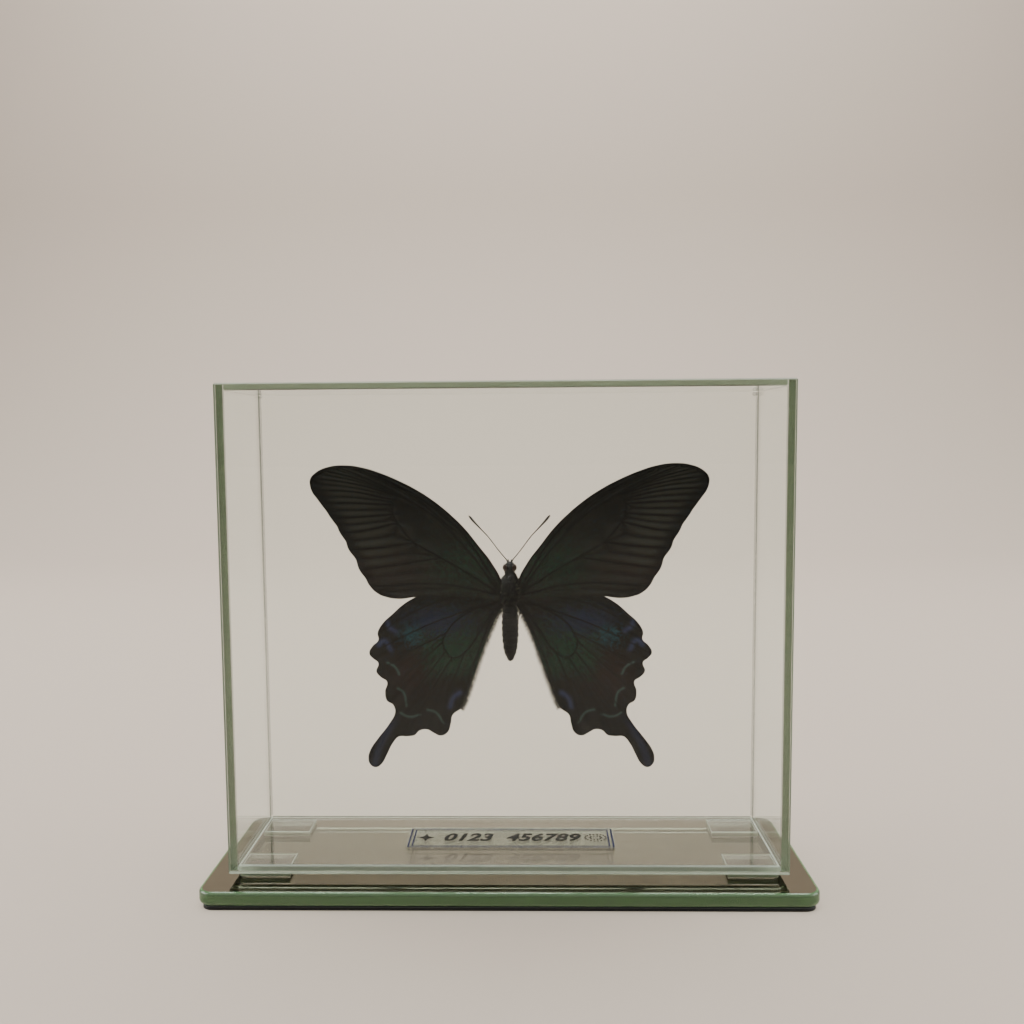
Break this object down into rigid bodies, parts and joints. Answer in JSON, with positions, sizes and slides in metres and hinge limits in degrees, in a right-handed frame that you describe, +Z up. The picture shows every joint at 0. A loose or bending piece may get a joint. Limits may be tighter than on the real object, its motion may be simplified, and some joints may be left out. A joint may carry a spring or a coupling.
{
  "type": "mounted butterfly in glass case",
  "caption": "Spread black swallowtail butterfly in a sealed upright box of clear glass, raised on glass spacers above a mirror-glass base.",
  "frame": {"origin": "middle of the underside, on the surface that the base stands on", "axes": "+Z up; the case's front, which the butterfly's upper side faces, is towards -Y; +X is on the viewer's right"},
  "size_m": [0.1752, 0.054, 0.1475],
  "materials": {
    "black_felt": "pressed black felt or foam sheet, matte",
    "backing_paint": "black satin paint on the back of the base glass",
    "bronze_mirror_glass": "float glass with a bronze mirror coat on its upper face, a polished green edge and eased arrises",
    "spacer_glass": "clear cut glass, polished faces, cut edges",
    "float_glass": "clear float glass, polished, edges green where light runs along the pane",
    "label_film": "printed translucent film, satin, with dark blue rules",
    "clear_acrylic": "clear polished acrylic",
    "body_hair_and_chitin": "furry dark brown thorax, smooth abdomen",
    "wing_scales": "near-black wing scales with a velvet sheen and blue-green dusting",
    "antenna_chitin": "dark satin chitin"
  },
  "bodies": {
    "root": {"foot_felt": "black_felt", "backing_paint": "backing_paint", "base_plate": "bronze_mirror_glass", "spacer_block_front_left": "spacer_glass", "spacer_block_front_right": "spacer_glass", "spacer_block_back_left": "spacer_glass", "spacer_block_back_right": "spacer_glass", "floor_pane": "float_glass", "front_pane": "float_glass", "back_pane": "float_glass", "left_pane": "float_glass", "right_pane": "float_glass", "top_pane": "float_glass", "label": "label_film", "support_rod": "clear_acrylic", "body": "body_hair_and_chitin", "forewing_left": "wing_scales", "forewing_right": "wing_scales", "hindwing_left": "wing_scales", "hindwing_right": "wing_scales", "antenna_left": "antenna_chitin", "antenna_right": "antenna_chitin"}
  },
  "joints": []
}
